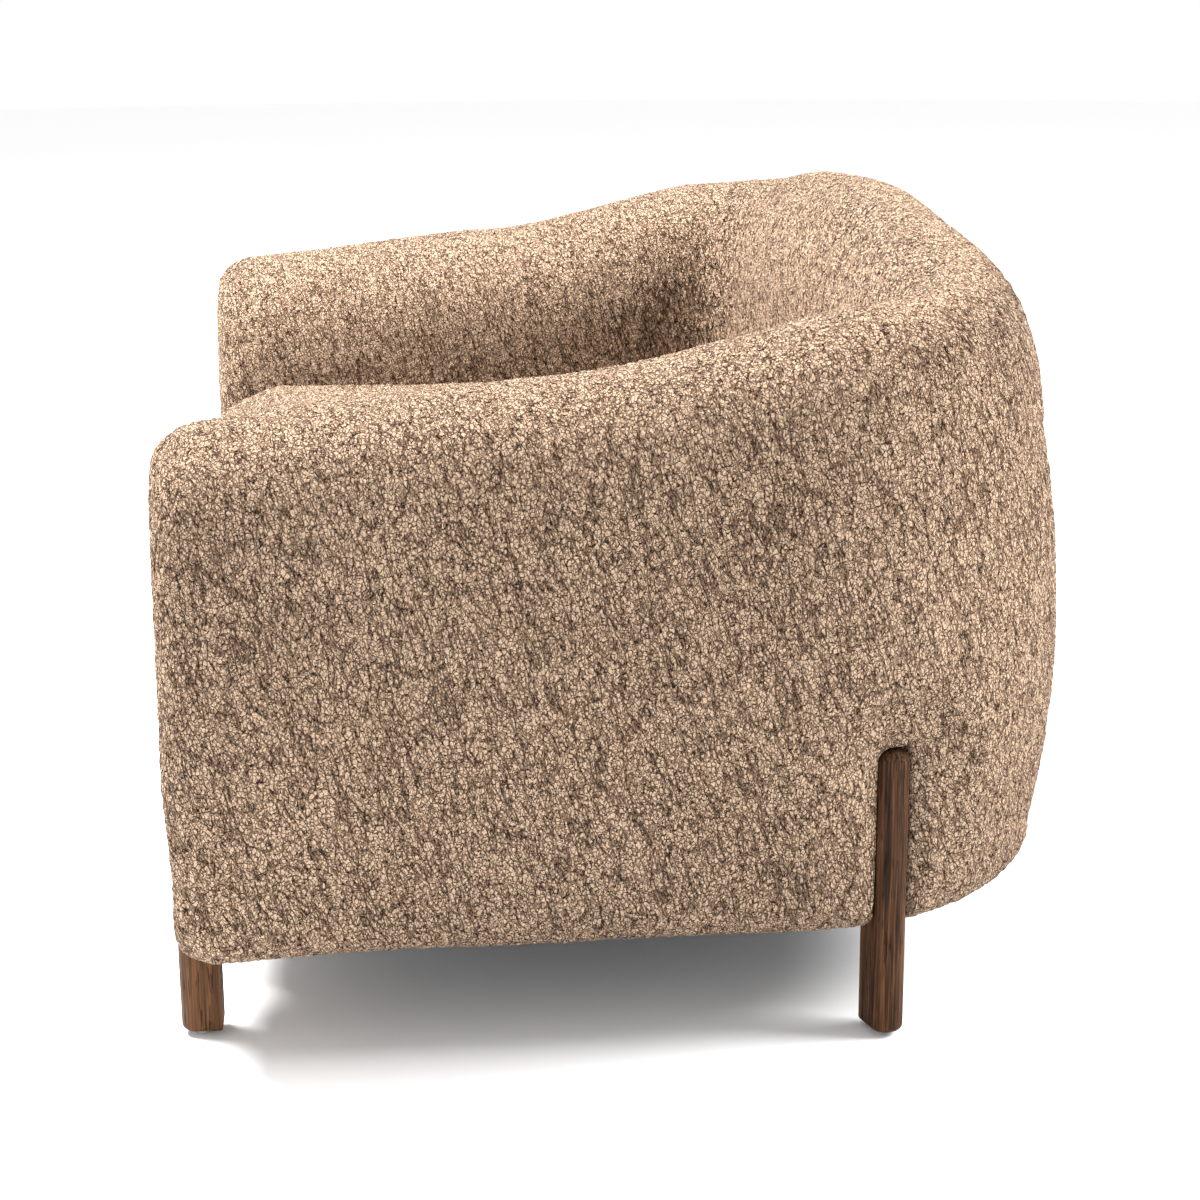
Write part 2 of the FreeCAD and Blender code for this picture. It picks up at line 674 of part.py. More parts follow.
def border_body(skin):
    """Padded panel in front of the front rail, under the cushion."""
    reach = HALF_WIDTH - ARM_WALL - FIT_GAP
    front = FRONT_Y + BORDER_RECESS + skin
    body = block(-reach, reach, front, FRONT_RAIL_Y, UNDERSIDE + skin, DECK_TOP - skin)
    edges = [e for e in body.Edges if e.BoundBox.YMax < front + 1.0 and e.BoundBox.XLength > reach]
    return body.makeFillet(BORDER_ROUND - skin, edges)


def build_seat():
    plan = seat_plan(0.0, FRONT_RAIL_Y)
    export("deck_foam", prism(plan, DECK_LOW, DECK_LOW + DECK_FOAM))
    export("deck_cloth", prism(plan, DECK_LOW + DECK_FOAM, DECK_TOP))
    padding = border_body(COVER)
    export("front_border_padding", padding)
    export("front_border_cover", border_body(0.0).cut(padding))
    build_cushion()


# ---------------------------------------------------------------- underside
def dust_line(inset, front_y):
    """Closed line under the base rails."""
    stations = [s for s in stations_between(0.0, WHOLE) if front_y + 1.0 < place(s, 0.0).y]
    sides = [place(s, inset) for s in stations]
    x = HALF_WIDTH - inset
    return [Vector(x, front_y, 0)] + sides + [Vector(-x, front_y, 0)]


def staple(point, angle):
    """Staple driven up through the dust cover; its crown lies along the edge."""
    half = STAPLE_CROWN / 2.0
    top = UNDERSIDE - DUST_COVER
    crown = block(-half, half, -STAPLE_WIRE / 2.0, STAPLE_WIRE / 2.0, top - STAPLE_WIRE, top)
    legs = [block(x, x + STAPLE_WIRE, -STAPLE_WIRE / 2.0, STAPLE_WIRE / 2.0, top, top + STAPLE_LEG)
            for x in (-half, half - STAPLE_WIRE)]
    shape = crown.fuse(legs).removeSplitter()
    return placed(shape, facing(point, angle))


def build_underside():
    front = FRONT_RAIL_Y + 6.0
    edge = dust_line(DUST_INSET, front)
    export("dust_cover", prism(edge, UNDERSIDE - DUST_COVER, UNDERSIDE))
    line = dust_line(DUST_INSET + 5.0, front + 6.0)
    staples = []
    for first, second in zip(line, line[1:] + [line[0]]):
        along = second.sub(first)
        count = max(1, int(along.Length // STAPLE_PITCH))
        angle = math.degrees(math.atan2(along.y, along.x))
        for step in range(count):
            staples.append(staple(first.add(along * ((step + 0.5) / count)), angle))
    export("dust_cover_staples", group(staples))


if __name__ == "__main__":
    os.makedirs("parts", exist_ok=True)
    build_walls()
    build_frame()
    build_suspension()
    build_seat()
    build_legs()
    build_underside()
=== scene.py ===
"""Compact tub sofa in looped pile fabric on four dark wooden legs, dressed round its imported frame."""

import json
import math

import bpy
import numpy as np
from mathutils import Matrix, Vector, noise


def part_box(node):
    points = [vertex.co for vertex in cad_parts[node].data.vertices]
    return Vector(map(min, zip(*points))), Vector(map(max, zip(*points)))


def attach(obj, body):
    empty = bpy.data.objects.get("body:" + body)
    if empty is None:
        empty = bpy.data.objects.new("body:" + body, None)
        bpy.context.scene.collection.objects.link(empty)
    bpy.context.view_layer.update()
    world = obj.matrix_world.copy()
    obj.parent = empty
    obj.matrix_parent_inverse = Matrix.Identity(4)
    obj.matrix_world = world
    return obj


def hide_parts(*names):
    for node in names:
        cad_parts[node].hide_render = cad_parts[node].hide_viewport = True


bl_info = {
    "name": "Tub sofa upholstery",
    "version": (1, 0, 0),
    "blender": (4, 5, 0),
    "location": "View3D > Sidebar > Sofa",
    "description": "Upholstery, cushion, woodwork finishes and studio for a compact tub sofa",
    "category": "Object",
}

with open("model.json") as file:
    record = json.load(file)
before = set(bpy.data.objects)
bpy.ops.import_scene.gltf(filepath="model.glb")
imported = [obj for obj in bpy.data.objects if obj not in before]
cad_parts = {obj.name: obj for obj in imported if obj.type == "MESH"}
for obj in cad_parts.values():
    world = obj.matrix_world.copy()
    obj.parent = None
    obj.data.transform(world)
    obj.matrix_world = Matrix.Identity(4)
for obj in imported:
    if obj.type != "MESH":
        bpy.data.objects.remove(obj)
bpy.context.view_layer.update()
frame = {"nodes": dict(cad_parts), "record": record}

# ---------------------------------------------------------------- sizes from the frame, in metres
ARM_LOW, ARM_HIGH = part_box("left_arm_cover")
BACK_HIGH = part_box("back_cover")[1]
LEG_LOW, LEG_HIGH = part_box("left_front_leg")
DECK_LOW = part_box("deck_foam")[0]
SEAT_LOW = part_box("cushion_cover_bottom")[0]
SEAT_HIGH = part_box("cushion_cover_top")[1]
BORDER_LOW, BORDER_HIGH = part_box("front_border_cover")
DUST_LOW, DUST_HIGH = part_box("dust_cover")

FACE_BULGE = 0.020          # swell of the outside faces
HALF_WIDTH = ARM_HIGH.x - FACE_BULGE
FRONT_Y = ARM_LOW.y
BACK_Y = BACK_HIGH.y - FACE_BULGE
UNDERSIDE = ARM_LOW.z
TUB_DEPTH = BACK_Y - FRONT_Y
CORNER_SIZE = 0.312         # rear corners in plan
CORNER_POWER = 2.30
ARM_LENGTH = TUB_DEPTH - CORNER_SIZE
ARM_WALL = 0.215
BACK_WALL = 0.185
ARM_FRONT_TOP = 0.621
ARM_RISE = 0.038
SHOULDER_RISE = 0.061
SHOULDER_RUN = 0.380
CROWN_RISE = BACK_HIGH.z - ARM_FRONT_TOP - ARM_RISE - SHOULDER_RISE
TOP_ROLL = 0.160
HEM_RADIUS = 0.052
FRONT_ROUND = 0.055         # depth of the rounding at the arms' front ends
FRONT_EASE = 0.62           # share of it by which the sides draw in
FRONT_DOME = 0.006
WALL_GAP = 0.002            # inside faces stand this far off the cushion's space

LEG_DEPTH = LEG_HIGH.y - LEG_LOW.y
LEG_HALF = (LEG_HIGH.x - LEG_LOW.x) / 2.0
LEG_DOME = 0.012
GROOVE_GAP = 0.0015         # fabric round each leg
GROOVE_LIP = 0.007          # radius of the groove's rolled lips
LEG_PROUD = 0.008           # leg's round face in front of the fabric beside it
TUCK_REACH = 0.085          # distance over which the fabric is drawn in towards a leg
REAR_LEG_STATION = 0.707
REAR_LEG_BED = 0.0434       # flat face of the rear legs, in from the outline
REAR_LEG_INSET = REAR_LEG_BED - LEG_DEPTH / 2.0

CORNER_STEPS = 600
CUSHION_GAP = 0.0035        # cushion's mesh in from the wall's inside face
DECK_GAP = 0.0015
SEAT_START = 0.06           # distance behind the arms' front at which the seat's outline starts
BORDER_EASE = 0.004         # border's mesh smaller than its space, before it is filled
DUST_INSET = 0.068
DROOP_REACH = 0.22          # distance from the arm fronts over which the hem droops
DROOP_HEIGHT = 0.10

FLOOR_RADIUS = 14.0
LIGHT_SIZE = 2.0
FILL_SIZE = 2.2
CAMERA_PLACE = (2.8595, -0.2435, 1.0575)
CAMERA_DOWN, CAMERA_TURN, CAMERA_ROLL = (math.radians(angle) for angle in (15.31, 5.622, -0.383))
SENSOR_WIDTH = 36.0
SIDES = ("left", "right")


def smooth(value):
    """Smooth step from 0 to 1."""
    value = np.clip(value, 0.0, 1.0)
    return value * value * (3.0 - 2.0 * value)


# ---------------------------------------------------------------- the wall's shape
def corner_curve():
    """Points of the rear corner in plan, a rounded square, and the length up to each."""
    angle = np.linspace(0.0, math.pi / 2.0, CORNER_STEPS)
    across = np.abs(np.cos(angle)) ** (2.0 / CORNER_POWER)
    along = np.sin(angle) ** (2.0 / CORNER_POWER)
    points = np.stack([HALF_WIDTH - CORNER_SIZE + CORNER_SIZE * across,
                       BACK_Y - CORNER_SIZE + CORNER_SIZE * along], axis=1)
    steps = np.hypot(*np.diff(points, axis=0).T)
    return points, np.concatenate([[0.0], np.cumsum(steps)])


CORNER_POINTS, CORNER_LENGTHS = corner_curve()
CORNER_END = ARM_LENGTH + CORNER_LENGTHS[-1]
MIDDLE = CORNER_END + HALF_WIDTH - CORNER_SIZE
WHOLE = 2.0 * MIDDLE


def outline_point(station):
    """Points of the sofa's outline at distances along it from the left arm's front."""
    near = np.minimum(station, WHOLE - station)
    side = np.where(station > MIDDLE, -1.0, 1.0)
    x = np.interp(near - ARM_LENGTH, CORNER_LENGTHS, CORNER_POINTS[:, 0])
    y = np.interp(near - ARM_LENGTH, CORNER_LENGTHS, CORNER_POINTS[:, 1])
    x = np.where(near > CORNER_END, MIDDLE - near, x)
    y = np.where(near < ARM_LENGTH, FRONT_Y + near, y)
    return np.stack([x * side, y], axis=-1)


def outline(station):
    """Points and inward ways along the outline."""
    reach = 0.006
    along = outline_point(station + reach) - outline_point(station - reach)
    along /= np.linalg.norm(along, axis=-1, keepdims=True)
    return outline_point(station), np.stack([-along[..., 1], along[..., 0]], axis=-1)


def near_end(station):
    """Distance along the outline from the nearer arm's front."""
    return np.minimum(station, WHOLE - station)


def wall_thickness(station):
    """Thickness of the padded wall, less at the back than at the arms."""
    share = smooth((near_end(station) - 0.8 * ARM_LENGTH) / (1.8 * CORNER_SIZE))
    return ARM_WALL + (BACK_WALL - ARM_WALL) * share


def wall_top(station):
    """Height of the wall, rising from the arm fronts over the shoulders to the crown."""
    near = near_end(station)
    rise_end = 0.6 * ARM_LENGTH
    crown_start = 1.13 * ARM_LENGTH
    height = ARM_FRONT_TOP + ARM_RISE * np.minimum(near / rise_end, 1.0)
    height = height + SHOULDER_RISE * smooth((near - rise_end) / SHOULDER_RUN)
    return height + CROWN_RISE * smooth((near - crown_start) / (MIDDLE - crown_start))


def bezier(first, second, third, fourth, share):
    """Cubic curve for each column at the given shares."""
    first, second, third, fourth = (np.asarray(value)[:, None] for value in (first, second, third, fourth))
    left = 1.0 - share
    return (first * left ** 3 + 3.0 * second * left ** 2 * share
            + 3.0 * third * left * share ** 2 + fourth * share ** 3)


def run_of(start, end, steps):
    """Even run for each column from start up to, but not with, end."""
    share = np.arange(steps) / steps
    return np.asarray(start)[:, None] * (1.0 - share) + np.asarray(end)[:, None] * share


def wall_sections(station, shrink, pitch):
    """Closed sections of the padded wall, one for each column: an array of columns, rows and places."""
    count = len(station)
    point, way = outline(station)
    half = wall_thickness(station) / 2.0
    outer = shrink
    inner = 2.0 * half - WALL_GAP - shrink
    middle = (outer + inner) / 2.0
    low = UNDERSIDE + 0.6 * shrink
    top = wall_top(station) - shrink
    shoulder = top - TOP_ROLL
    crown = shoulder + 0.62 * TOP_ROLL
    hem = np.minimum(HEM_RADIUS, 0.45 * (inner - outer))
    edge = FRONT_EASE * FRONT_ROUND
    swell = FACE_BULGE * 4.0 * np.clip((half - shrink) / (half - edge), 0.0, 1.0)
    groove_top = np.full(count, LEG_HIGH.z + GROOVE_GAP)
    bottom_steps = 12
    hem_steps = int(0.080 / pitch)
    lower_steps = int((LEG_HIGH.z - UNDERSIDE - HEM_RADIUS) / pitch)
    upper_steps = int(0.250 / pitch)
    roll_steps = int(0.185 / pitch)
    inside_steps = int(0.130 / pitch)

    hem_share = np.arange(hem_steps) / hem_steps
    roll_share = np.arange(roll_steps) / roll_steps
    lower = run_of(low + hem, groove_top, lower_steps)
    upper = run_of(groove_top, shoulder, upper_steps)
    face_z = np.concatenate([lower, upper], axis=1)
    rise = (face_z - (low + hem)[:, None]) / (shoulder - low - hem)[:, None]
    face_in = outer[:, None] - swell[:, None] * rise * (1.0 - rise)
    half_down = np.minimum(0.44, shoulder - 0.01)

    insets = [
        run_of(inner, outer + hem, bottom_steps),
        bezier(outer + hem, outer + 0.4 * hem, outer - 0.001, outer, hem_share),
        face_in,
        bezier(outer, outer + 0.002, outer + 0.4 * (middle - outer), middle, roll_share),
        bezier(middle, inner - 0.4 * (inner - middle), inner - 0.002, inner, roll_share),
        np.repeat(inner[:, None], inside_steps + lower_steps + lower_steps, axis=1),
    ]
    heights = [
        np.repeat(low[:, None], bottom_steps, axis=1),
        bezier(low, low, low + 0.4 * hem, low + hem, hem_share),
        face_z,
        bezier(shoulder, crown, top, top, roll_share),
        bezier(top, top, crown, shoulder, roll_share),
        run_of(shoulder, half_down, inside_steps),
        run_of(half_down, groove_top, lower_steps),
        run_of(groove_top, low, lower_steps),
    ]
    inset = np.concatenate(insets, axis=1)
    height = np.concatenate(heights, axis=1)
    plan = point[:, None, :] + way[:, None, :] * inset[..., None]
    return np.concatenate([plan, height[..., None]], axis=2)


def with_edges(values, edges, pitch):
    """Adds a close pair of values at each edge, in place of those beside it."""
    hair = 0.0002
    for edge in edges:
        values = values[np.abs(values - edge) > 0.6 * pitch]
        values = np.concatenate([values, [edge - hair, edge + hair]])
    return np.sort(values)


def wall_columns(pitch):
    """Stations, draw-in and front offset of each column, from one arm's front face to the other's."""
    half = ARM_WALL / 2.0
    edge = FRONT_EASE * FRONT_ROUND
    reach = LEG_HALF + GROOVE_GAP
    leg_inset = HALF_WIDTH - (LEG_LOW.x + LEG_HIGH.x) / 2.0
    groove_edges = (leg_inset - reach, ARM_WALL - WALL_GAP - leg_inset - reach)
    face = with_edges(np.arange(edge + pitch, half - 0.0015, pitch), groove_edges, pitch)[::-1]
    turn = np.linspace(0.0, math.pi / 2.0, int(0.075 / pitch))
    station = np.concatenate([0.0 * face, FRONT_ROUND * (1.0 - np.cos(turn))])
    shrink = np.concatenate([face, edge * (1.0 - np.sin(turn))])
    dome = FRONT_DOME * (1.0 - ((half - face) / (half - edge)) ** 2)
    forward = np.concatenate([dome, 0.0 * turn])
    plain = np.arange(FRONT_ROUND + pitch, MIDDLE, pitch)
    plain = with_edges(plain, (REAR_LEG_STATION - reach, REAR_LEG_STATION + reach), pitch)
    station = np.concatenate([station, plain])
    shrink = np.concatenate([shrink, 0.0 * plain])
    forward = np.concatenate([forward, 0.0 * plain])
    return (np.concatenate([station, WHOLE - station[::-1]]), np.concatenate([shrink, shrink[::-1]]),
            np.concatenate([forward, forward[::-1]]))


def leg_axes():
    """Axis and outward way of the left legs in plan."""
    point, way = outline(np.array([REAR_LEG_STATION]))
    rear = point[0] + way[0] * REAR_LEG_INSET
    front = np.array([(LEG_LOW.x + LEG_HIGH.x) / 2.0, (LEG_LOW.y + LEG_HIGH.y) / 2.0])
    return (front, np.array([0.0, -1.0])), (rear, -way[0])


def fit_round_legs(places, puff):
    """Presses the leg grooves into the wall, rolls their lips and puffs the fabric beside them."""
    side = np.where(places[:, 0] < 0.0, -1.0, 1.0)
    plan = places[:, :2] * np.stack([side, np.ones_like(side)], axis=1)
    height = places[:, 2]
    hidden = np.zeros(len(places))
    for axis, out in leg_axes():
        across = np.array([-out[1], out[0]])
        stand = (plan - axis) @ out
        apart = np.abs((plan - axis) @ across)
        beside = apart - (LEG_HALF + GROOVE_GAP - LEG_DOME)
        above = height - (LEG_HIGH.z + GROOVE_GAP - LEG_DOME)
        outside = np.hypot(np.maximum(beside, 0.0), np.maximum(above, 0.0))
        gap = outside + np.minimum(np.maximum(beside, above), 0.0) - LEG_DOME
        bed = -LEG_DEPTH / 2.0 - GROOVE_GAP
        open_side = stand > bed
        lip = np.clip(1.0 - gap / GROOVE_LIP, 0.0, 1.0)
        drop = GROOVE_LIP * (1.0 - np.sqrt(1.0 - lip ** 2))
        beside_leg = LEG_DEPTH / 2.0 - LEG_PROUD
        stand_in = np.minimum(stand, beside_leg)
        stand_in = stand + (stand_in - stand) * smooth(1.0 - gap / TUCK_REACH)
        swell = puff * np.exp(-((gap - 0.022) / 0.012) ** 2) * smooth((height - UNDERSIDE) / 0.05)
        moved = np.where(gap < 0.0, bed, np.maximum(stand_in - drop + swell, bed))
        shift = np.where(open_side, moved - stand, 0.0)
        plan = plan + out * shift[:, None]
        hidden = np.maximum(hidden, np.where(open_side & (gap < 0.003), 1.0, 0.0))
    plan = plan * np.stack([side, np.ones_like(side)], axis=1)
    return np.concatenate([plan, height[:, None]], axis=1), hidden


# ---------------------------------------------------------------- mesh helpers
def mesh_piece(name, vertices, faces):
    """New mesh object at the origin, with smooth faces."""
    mesh = bpy.data.meshes.new(name)
    mesh.from_pydata([tuple(v) for v in vertices], [], faces)
    mesh.validate()
    piece = bpy.data.objects.new(name, mesh)
    bpy.context.scene.collection.objects.link(piece)
    mesh.polygons.foreach_set("use_smooth", np.ones(len(mesh.polygons), dtype=bool))
    return piece


def select_only(piece):
    """Makes a piece the one selected and active object."""
    bpy.ops.object.select_all(action="DESELECT")
    piece.select_set(True)
    bpy.context.view_layer.objects.active = piece


def places_of(mesh):
    flat = np.empty(len(mesh.vertices) * 3)
    mesh.vertices.foreach_get("co", flat)
    return flat.reshape(-1, 3)


def normals_of(mesh):
    flat = np.empty(len(mesh.vertices) * 3, dtype=np.float32)
    mesh.vertex_normals.foreach_get("vector", flat)
    return flat.reshape(-1, 3).astype(float)


def set_places(mesh, places):
    mesh.vertices.foreach_set("co", places.astype(np.float32).ravel())
    mesh.update()


def facing_out(piece):
    """Turns every face of a closed piece outwards."""
    select_only(piece)
    bpy.ops.object.mode_set(mode="EDIT")
    bpy.ops.mesh.select_all(action="SELECT")
    bpy.ops.mesh.normals_make_consistent(inside=False)
    bpy.ops.object.mode_set(mode="OBJECT")


def apply_modifier(piece, kind, **settings):
    modifier = piece.modifiers.new(kind.title(), kind)
    for key, value in settings.items():
        setattr(modifier, key, value)
    select_only(piece)
    bpy.ops.object.modifier_apply(modifier=modifier.name)


def ring_faces(columns, rows):
    """Quads between neighbouring closed columns."""
    column = np.arange(columns - 1)[:, None] * rows
    row = np.arange(rows)[None, :]
    after = (row + 1) % rows
    quads = np.stack([column + row, column + after, column + rows + after, column + rows + row], axis=2)
    return quads.reshape(-1, 4).tolist()


def pile_relief(piece, fabric, keep=None):
    """Raises tufts, furrows and soft unevenness on a pad, and notes the tufts' height on the mesh."""
    mesh = piece.data
    places = places_of(mesh)
    normals = normals_of(mesh)
    tuft_scale = 1.0 / fabric.tuft
    heights = np.empty(len(places))
    swell = np.empty(len(places))
    for index, (x, y, z) in enumerate(places):
        bend = 0.35 * noise.noise((70.0 * x, 70.0 * y, 40.0 * z))
        at = (tuft_scale * x + bend, tuft_scale * y - bend, 0.60 * tuft_scale * z + bend)
        near = noise.voronoi(at, distance_metric="DISTANCE")[0]
        tuft = min(1.9 * (near[1] - near[0]), 1.0)
        furrow = noise.noise((95.0 * x, 95.0 * y, 26.0 * z))
        heights[index] = 0.62 * tuft + 0.38 * (0.5 + furrow)
        swell[index] = noise.noise((7.0 * x, 7.0 * y, 7.0 * z))
        swell[index] += 0.4 * noise.noise((19.0 * x, 19.0 * y, 19.0 * z))
    lift = fabric.relief * (heights - 0.75) + fabric.unevenness * swell
    if keep is not None:
        lift = lift * keep
    set_places(mesh, places + normals * lift[:, None])
    attribute = mesh.attributes.new("tuft_height", "FLOAT", "POINT")
    attribute.data.foreach_set("value", heights.astype(np.float32))


def fill_pad(piece, pad, give):
    """Swells a closed pad by cloth pressure; give says how far each place and normal may move."""
    apply_modifier(piece, "REMESH", mode="VOXEL", voxel_size=pad.voxel, use_smooth_shade=True)
    start = places_of(piece.data)
    limit = give(start, normals_of(piece.data))
    cloth = piece.modifiers.new("Filling", "CLOTH")
    cloth.settings.quality = 4
    cloth.settings.mass = 0.3
    cloth.settings.use_pressure = True
    cloth.settings.uniform_pressure_force = pad.pressure
    cloth.settings.effector_weights.gravity = 0.0
    cloth.collision_settings.use_collision = False
    cloth.point_cache.frame_start = 1
    cloth.point_cache.frame_end = pad.frames
    scene = bpy.context.scene
    for step in range(1, pad.frames + 1):
        scene.frame_set(step)
    posed = piece.evaluated_get(bpy.context.evaluated_depsgraph_get())
    end = places_of(posed.data)
    piece.modifiers.remove(cloth)
    scene.frame_set(1)
    move = end - start
    length = np.linalg.norm(move, axis=1)
    share = np.minimum(1.0, limit / np.maximum(length, 1e-9))
    set_places(piece.data, start + move * share[:, None])
    apply_modifier(piece, "SMOOTH", factor=0.5, iterations=4)
    apply_modifier(piece, "SUBSURF", levels=1, render_levels=1)
    piece.data.polygons.foreach_set("use_smooth", np.ones(len(piece.data.polygons), dtype=bool))


# ---------------------------------------------------------------- materials
class Value:
    """A number that varies over a surface. Arithmetic on it adds Math nodes."""

    def __init__(self, finish, socket):
        self.finish = finish
        self.socket = socket

    def _math(self, operation, first, second):
        return self.finish.node("Math", {"operation": operation}, {0: first, 1: second})

    def __add__(self, other):
        return self._math("ADD", self, other)

    def __radd__(self, other):
        return self._math("ADD", other, self)

    def __sub__(self, other):
        return self._math("SUBTRACT", self, other)

    def __rsub__(self, other):
        return self._math("SUBTRACT", other, self)

    def __mul__(self, other):
        return self._math("MULTIPLY", self, other)

    def __rmul__(self, other):
        return self._math("MULTIPLY", other, self)

    def size(self):
        """The value without its sign."""
        return self.finish.node("Math", {"operation": "ABSOLUTE"}, {0: self})

    def between(self, low, high):
        """Smooth 0 to 1 as the value goes from low to high."""
        return self.finish.node("MapRange", {"interpolation_type": "SMOOTHSTEP"},
                                {"Value": self, "From Min": low, "From Max": high})


class Finish:
    """A surface material under construction."""

    def __init__(self, name):
        self.material = bpy.data.materials.new(name)
        self.material.use_nodes = True
        self.tree = self.material.node_tree
        self.tree.nodes.clear()

    def node(self, kind, settings=None, inputs=None, output=0):
        """Adds a node with its settings, then its inputs, and gives one output."""
        node = self.tree.nodes.new("ShaderNode" + kind)
        for key, value in (settings or {}).items():
            setattr(node, key, value)
        for key, value in (inputs or {}).items():
            if isinstance(value, Value):
                self.tree.links.new(value.socket, node.inputs[key])
            else:
                node.inputs[key].default_value = value
        return Value(self, node.outputs[output]) if node.outputs else node

    def place(self, stretch=(1.0, 1.0, 1.0)):
        """Object coordinates, scaled along each axis."""
        spot = self.node("TexCoord", output="Object")
        return self.node("VectorMath", {"operation": "MULTIPLY"}, {0: spot, 1: stretch})

    def mottle(self, scale, detail=2.0, stretch=(1.0, 1.0, 1.0), roughness=0.5):
        """Noise from 0 to 1."""
        return self.node("TexNoise", {}, {"Vector": self.place(stretch), "Scale": scale, "Detail": detail,
                                          "Roughness": roughness})

    def leaning_lines(self, lean, stretch, detail, scale):
        """0 along thin wandering lines that lean back towards their tops, more away from them."""
        spot = self.node("VectorRotate", {"rotation_type": "X_AXIS"},
                         {"Vector": self.place(), "Angle": -lean})
        spot = self.node("VectorMath", {"operation": "MULTIPLY"}, {0: spot, 1: (1.0, 1.0, stretch)})
        waves = self.node("TexNoise", {}, {"Vector": spot, "Scale": scale, "Detail": detail})
        return (waves - 0.5).size()

    def mix(self, share, first, second):
        """Colour between two colours."""
        colours = [(*c, 1.0) if isinstance(c, tuple) else c for c in (first, second)]
        return self.node("Mix", {"data_type": "RGBA"}, {0: share, 6: colours[0], 7: colours[1]}, output=2)

    def shade(self, colour, roughness, height=None, depth=0.001, strength=0.6, **constants):
        """Closes the material with a shader, an optional bump and constant sockets."""
        base = (*colour, 1.0) if isinstance(colour, tuple) else colour
        inputs = {"Base Color": base, "Roughness": roughness}
        if height is not None:
            inputs["Normal"] = self.node("Bump", {}, {"Height": height, "Distance": depth,
                                                      "Strength": strength})
        inputs.update({key.replace("_", " "): value for key, value in constants.items()})
        shader = self.node("BsdfPrincipled", {}, inputs)
        self.node("OutputMaterial", {}, {"Surface": shader})
        return self.material


def pile_material(fabric):
    """Looped wool-like pile: fine curled nubs parted by leaning furrows, with painted shade in the gaps and
    furrows and a painted highlight on the highest loop tips.
    """
    made = Finish("looped_pile")
    spread = made.node("TexNoise", {}, {"Vector": made.place(), "Scale": 170.0, "Detail": 1.0}, output=1)
    spread = made.node("VectorMath", {"operation": "SUBTRACT"}, {0: spread, 1: (0.5, 0.5, 0.5)})
    spread = made.node("VectorMath", {"operation": "MULTIPLY"}, {0: spread, 1: (0.0055, 0.0055, 0.0045)})
    spot = made.node("VectorMath", {"operation": "ADD"}, {0: made.place((1.0, 1.0, 0.7)), 1: spread})
    edges = {"feature": "DISTANCE_TO_EDGE"}
    nub = made.node("TexVoronoi", edges, {"Vector": spot, "Scale": 1.0 / fabric.nub}).between(0.0, 0.10)
    worm = made.leaning_lines(fabric.lean, 0.50, 1.0, 215.0).between(0.0, 0.055)
    furrow = made.leaning_lines(fabric.lean, 0.28, 2.0, 92.0).between(0.0, 0.036)
    curl = made.mottle(700.0, 2.0, (1.0, 1.0, 0.8))
    tuft = made.node("Attribute", {"attribute_name": "tuft_height"}, output="Fac").between(0.05, 0.55)
    raised = nub * (0.40 + 0.60 * worm) * (0.16 + 0.84 * furrow) * (0.92 + 0.08 * tuft)
    lit = raised * (0.70 + 0.6 * curl)
    drift = made.mottle(5.5, 2.0)
    brown = made.mix(drift.between(0.3, 0.7), tuple(fabric.colour), tuple(fabric.colour_warm))
    # Painted shade: where the nubs, worm lines and furrows sit low, the colour goes to the deep colour in
    # place of the shadow between the loops.
    colour = made.mix(lit.between(0.0, 0.40), tuple(fabric.colour_deep), brown)
    # Painted highlight: the highest loop tips are lightened towards the tip highlight colour.
    colour = made.mix(lit.between(0.62, 1.05) * 0.45, colour, tuple(fabric.colour_tip_highlight))
    height = nub * 0.6 + worm * 0.7 + furrow * 0.9 + curl * 0.5
    return made.shade(colour, 0.95, height, 0.0100, 1.0, Sheen_Weight=0.02, Sheen_Roughness=0.4,
                      Sheen_Tint=(1.0, 0.90, 0.82, 1.0), Specular_IOR_Level=0.08)


def pile_of(fabric):
    """The pile that all the pads share, made when the first of them needs it."""
    return bpy.data.materials.get("looped_pile") or pile_material(fabric)


def leg_material(wood):
    """Dark stained oak: upright open grain, filled pores and some fibres and patches rubbed a little
    lighter.
    """
    made = Finish("stained_oak")
    grain = made.mottle(210.0, 4.0, (1.0, 1.0, 0.035), 0.6)
    fibre = made.mottle(420.0, 3.0, (1.0, 1.0, 0.03), 0.6)
    pore = made.mottle(620.0, 2.0, (1.0, 1.0, 0.055)).between(0.60, 0.68)
    drift = made.mottle(9.0, 2.0, (1.0, 1.0, 0.4))
    colour = made.mix(grain.between(0.32, 0.68), tuple(wood.colour_deep), tuple(wood.colour))
    colour = made.mix(fibre.between(0.45, 0.75) * 0.55, colour, tuple(wood.colour_worn))
    colour = made.mix(drift.between(0.55, 0.85) * 0.4, colour, tuple(wood.colour_worn))
    colour = made.mix(pore * 0.75, colour, (0.012, 0.007, 0.005))
    height = fibre * 0.5 + grain * 0.5 - pore * 0.8
    return made.shade(colour, 0.52 + pore * 0.25 + grain * 0.1, height, 0.0012, 0.9, Specular_IOR_Level=0.08)


def frame_wood_material(name, light, dark, stretch, scale):
    """Planed softwood or hardwood with straight grain."""
    made = Finish(name)
    grain = made.mottle(scale, 4.0, stretch, 0.6)
    band = made.mottle(scale * 0.2, 2.0, stretch)
    colour = made.mix(grain.between(0.3, 0.7), light, dark)
    colour = made.mix(band.between(0.4, 0.7) * 0.5, colour, dark)
    return made.shade(colour, 0.55 + grain * 0.2, grain, 0.0004, 0.4)


def steel_material(name, colour, roughness):
    """Drawn or plated steel with faint streaks and handling marks."""
    made = Finish(name)
    streak = made.mottle(240.0, 3.0, (1.0, 0.2, 1.0))
    marks = made.mottle(30.0, 3.0)
    tone = made.mix(marks.between(0.35, 0.7), colour, tuple(0.7 * part for part in colour))
    return made.shade(tone, roughness + streak * 0.2, streak, 0.0002, 0.3, Metallic=1.0)


